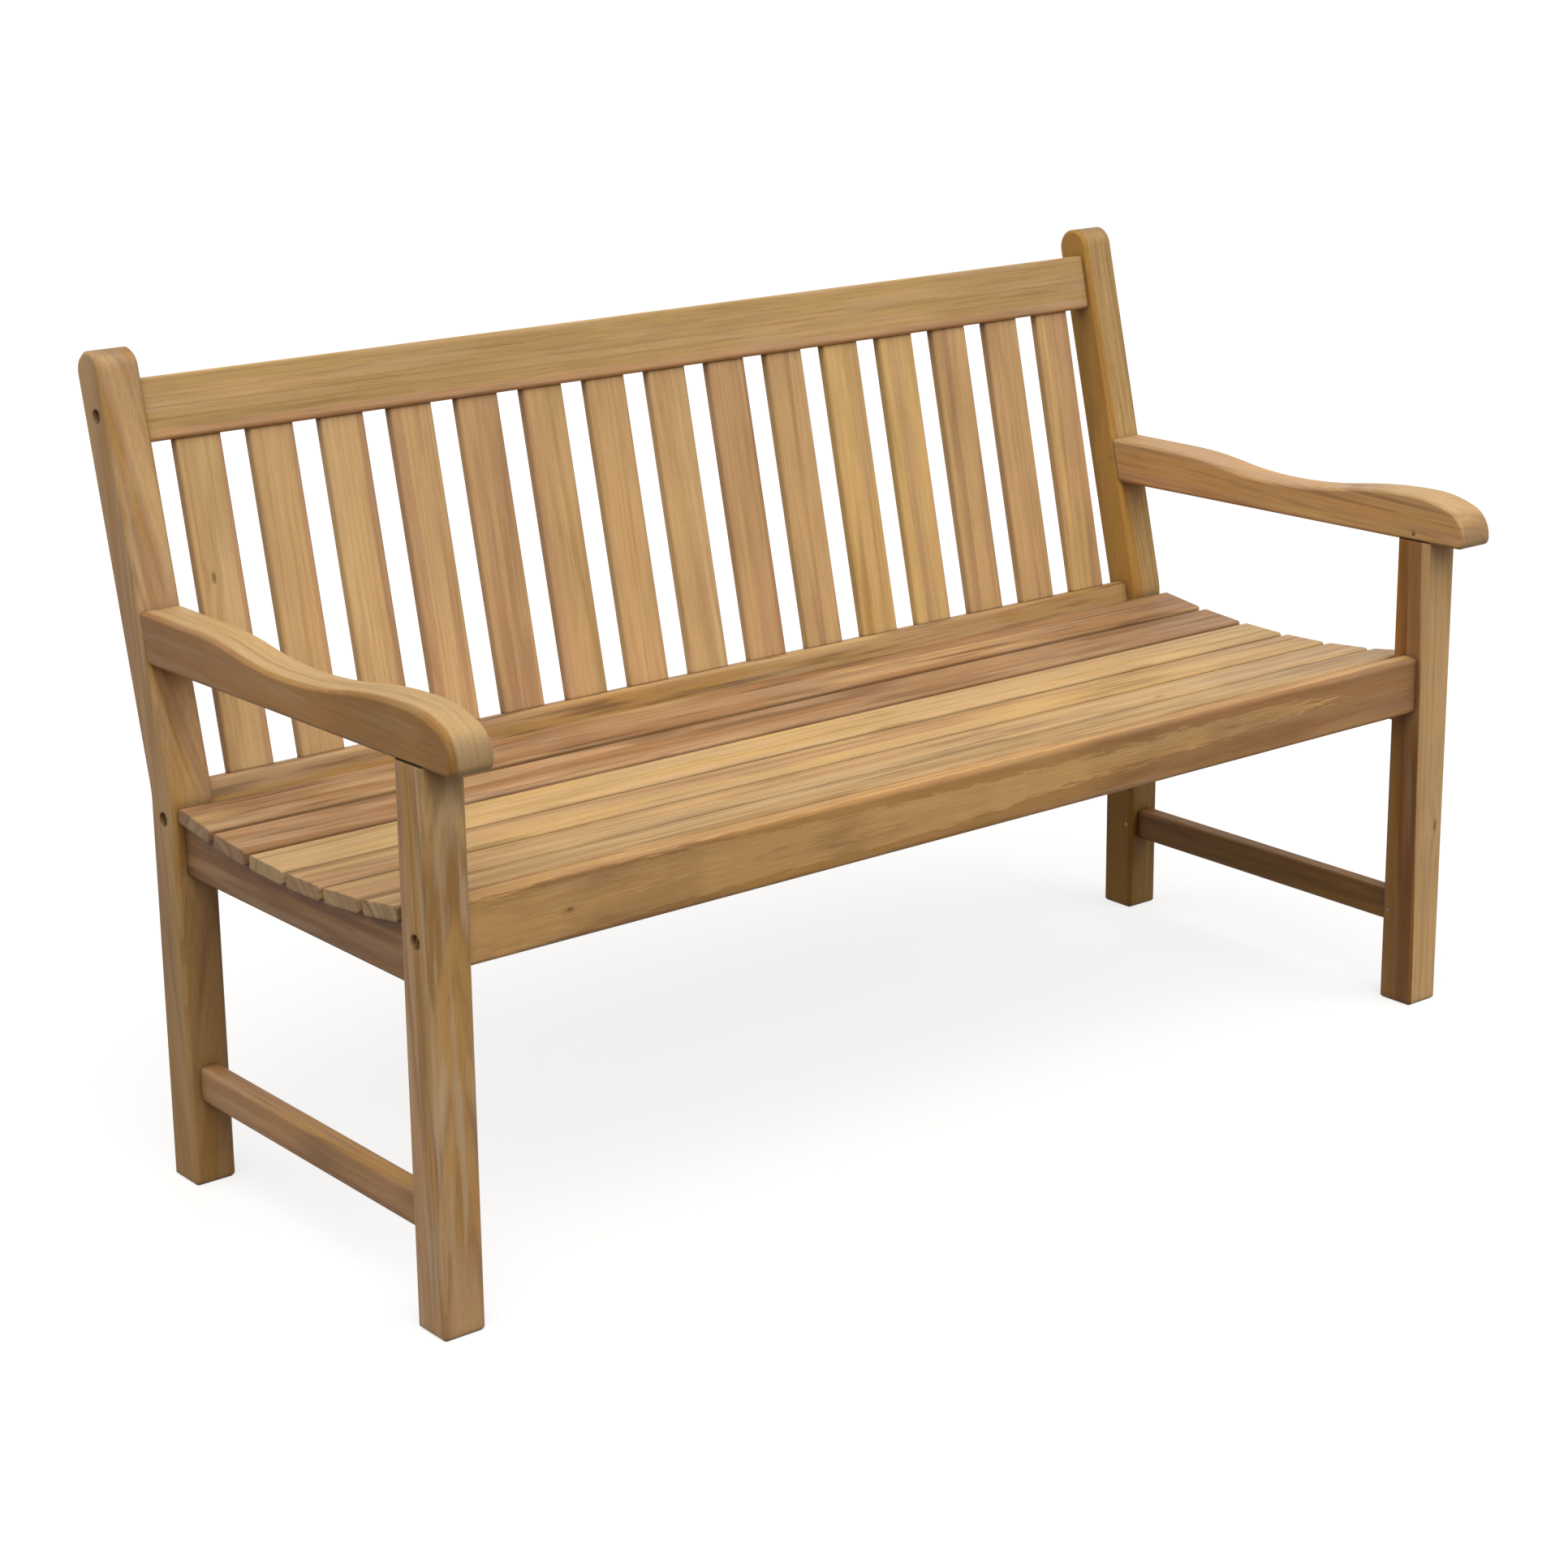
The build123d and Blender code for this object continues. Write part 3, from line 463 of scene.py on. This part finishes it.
floor_finish = bpy.data.materials.new("floor_white")
floor_finish.use_nodes = True
tree = floor_finish.node_tree
tree.nodes.remove(tree.nodes["Principled BSDF"])
dim = add(tree, "ShaderNodeBsdfDiffuse", {"Color": WARM_BOUNCE})
shaded = add(tree, "ShaderNodeBsdfDiffuse", {"Color": SHADOW_GREY})
glow = add(tree, "ShaderNodeEmission", {"Strength": FLOOR_GLOW})
bright = add(tree, "ShaderNodeAddShader", {0: shaded.outputs[0], 1: glow.outputs[0]})
both = {0: seen_directly(tree), 1: dim.outputs[0], 2: bright.outputs[0]}
chosen = add(tree, "ShaderNodeMixShader", both)
tree.links.new(chosen.outputs[0], tree.nodes["Material Output"].inputs["Surface"])
floor_mesh.materials.append(floor_finish)

OPEN_SKY = 0.08
FRONT_SKY = 7.8
LEFT_SKY = 3.3
REAR_SKY = 1.6
LOW_SKY = 0.03
SKY_TINT = (1.0, 0.97, 0.92, 1.0)
WHITE = (1.0, 1.0, 1.0, 1.0)
surround = bpy.data.worlds.new("surround")
bpy.context.scene.world = surround
surround.use_nodes = True
sky = surround.node_tree
towards = sky.nodes.new("ShaderNodeTexCoord").outputs["Generated"]


def part_of_sky(direction):
    return number(sky, "MAXIMUM", dotted(sky, towards, direction), 0.0)


to_left, to_front = part_of_sky((-1.0, 0.0, 0.0)), part_of_sky((0.0, -1.0, 0.0))
to_rear, height = part_of_sky((0.0, 1.0, 0.0)), part_of_sky((0.0, 0.0, 1.0))
all_round = number(sky, "MULTIPLY_ADD", to_left, LEFT_SKY, OPEN_SKY)
all_round = number(sky, "MULTIPLY_ADD", to_front, FRONT_SKY, all_round)
all_round = number(sky, "MULTIPLY_ADD", to_rear, REAR_SKY, all_round)
light = number(sky, "MULTIPLY_ADD", number(sky, "MULTIPLY", height, height), all_round, LOW_SKY)
level = add(sky, "ShaderNodeMix", {0: seen_directly(sky), 2: light, 3: 1.0}).outputs[0]
sky.links.new(level, sky.nodes["Background"].inputs["Strength"])
warmth = blend(sky, seen_directly(sky), SKY_TINT, WHITE)
sky.links.new(warmth, sky.nodes["Background"].inputs["Color"])


# Camera.
# It stands to the left in front of the bench, higher than its back, and looks down.
CAMERA_PLACE = Vector((-2.350, -2.8442, 1.491))
TURN = math.radians(-38.96)
TILT_DOWN = math.radians(15.72)
ROLL = math.radians(-0.56)
IMAGE_SIDE = 1932
FOCAL_PIXELS = 4047
AXIS_PIXEL = (979.2, 877.4)
camera = bpy.data.cameras.new("camera")
camera.sensor_width = 36.0
camera.lens = FOCAL_PIXELS / IMAGE_SIDE * camera.sensor_width
camera.shift_x = 0.5 - AXIS_PIXEL[0] / IMAGE_SIDE
camera.shift_y = AXIS_PIXEL[1] / IMAGE_SIDE - 0.5
stand = bpy.data.objects.new("camera", camera)
bpy.context.scene.collection.objects.link(stand)
turned = Matrix.Rotation(TURN, 4, "Z") @ Matrix.Rotation(math.pi / 2 - TILT_DOWN, 4, "X")
stand.matrix_world = Matrix.Translation(CAMERA_PLACE) @ turned @ Matrix.Rotation(ROLL, 4, "Z")
bpy.context.scene.camera = stand
bpy.context.scene.view_settings.view_transform = "Standard"
